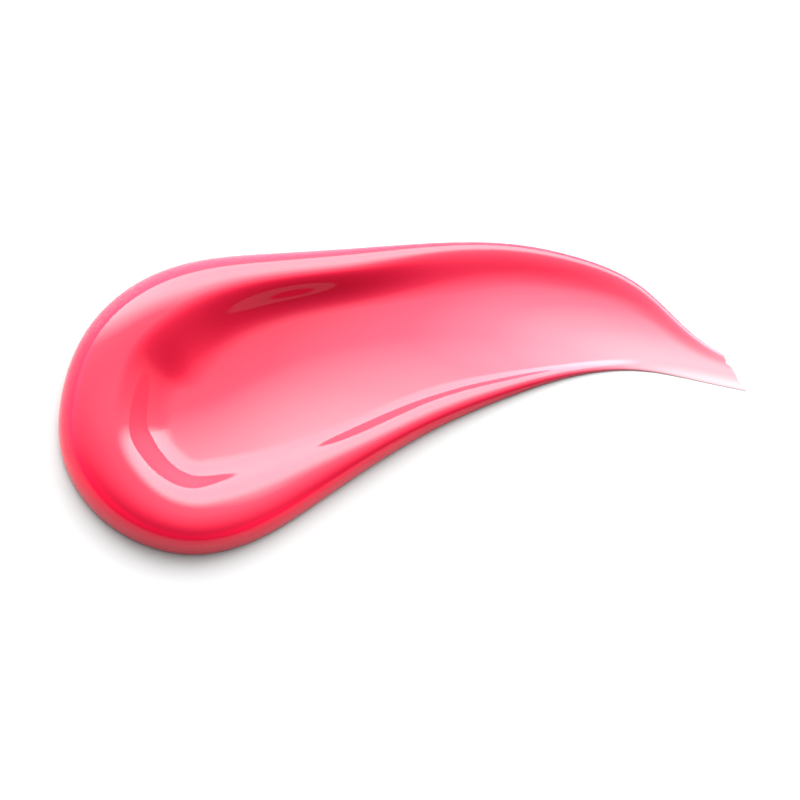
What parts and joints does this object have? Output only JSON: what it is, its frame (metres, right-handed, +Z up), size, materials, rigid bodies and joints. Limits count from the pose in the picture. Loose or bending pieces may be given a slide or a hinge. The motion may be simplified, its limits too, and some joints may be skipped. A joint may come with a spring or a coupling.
{
  "type": "lip gloss smear",
  "caption": "Glossy smear of lip gloss: a round pool with a raised rim and a shallow trough, dragged out sideways to a thin torn film. Flat underneath.",
  "frame": {"origin": "centre of the bounding box, on the flat underside where the gel rests on a surface", "axes": "+Z up from the surface, +X from the round head to the thin tail, +Y towards the far, bulging side"},
  "size_m": [0.04, 0.0186, 0.003],
  "materials": {
    "gloss": "wet, mirror smooth, translucent where thin"
  },
  "bodies": {
    "root": {"gloss_smear": "gloss"}
  },
  "joints": []
}
